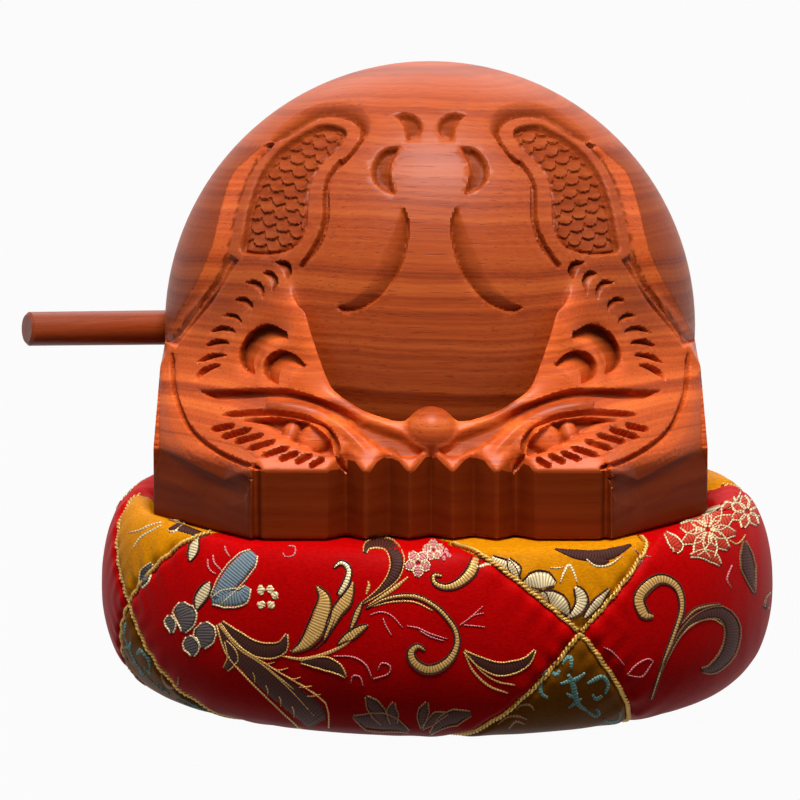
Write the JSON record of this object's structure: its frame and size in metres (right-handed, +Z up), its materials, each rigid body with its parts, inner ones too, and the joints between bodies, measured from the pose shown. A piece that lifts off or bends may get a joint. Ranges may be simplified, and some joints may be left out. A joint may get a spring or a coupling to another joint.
{
  "type": "wooden fish slit drum",
  "caption": "Hollow carved wooden fish slit drum with twin fish heads holding a pearl, resting on a round patchwork brocade cushion, its mallet stowed through the sound slit.",
  "frame": {"origin": "centre of the cushion's underside, on the surface it stands on", "axes": "+X to the viewer's right, along the length of the stowed mallet's free end to head; +Y to the back, away from the two fish heads; +Z up"},
  "size_m": [0.2114, 0.192, 0.1778],
  "materials": {
    "fish_wood": "satin lacquer over red-brown hardwood",
    "handle_wood": "satin lacquer over red-brown hardwood",
    "head_wood": "satin lacquer over red-brown hardwood",
    "filling": "soft cotton wadding",
    "red_brocade": "red satin brocade",
    "gold_brocade": "gold satin brocade",
    "gold_cord": "twisted metallic gold cord"
  },
  "bodies": {
    "cushion": {"cushion_filling": "filling", "red_square_front": "red_brocade", "red_square_right": "red_brocade", "red_square_back": "red_brocade", "red_square_left": "red_brocade", "gold_top_square_front": "gold_brocade", "gold_top_square_right": "gold_brocade", "gold_top_square_back": "gold_brocade", "gold_top_square_left": "gold_brocade", "gold_base_square_front": "gold_brocade", "gold_base_square_right": "gold_brocade", "gold_base_square_back": "gold_brocade", "gold_base_square_left": "gold_brocade", "seam_cord_front": "gold_cord", "seam_cord_right": "gold_cord", "seam_cord_back": "gold_cord", "seam_cord_left": "gold_cord"},
    "fish": {"fish_body": "fish_wood"},
    "mallet": {"mallet_handle": "handle_wood", "mallet_head": "head_wood"}
  },
  "joints": [
    {"name": "fish_lift", "type": "slide", "parent": "cushion", "child": "fish", "axis": [0, 0, 1], "range_m": [0, 0.1]},
    {"name": "mallet_draw", "type": "slide", "parent": "fish", "child": "mallet", "axis": [0.9135, 0.4045, -0.0425], "range_m": [0, 0.165]}
  ]
}
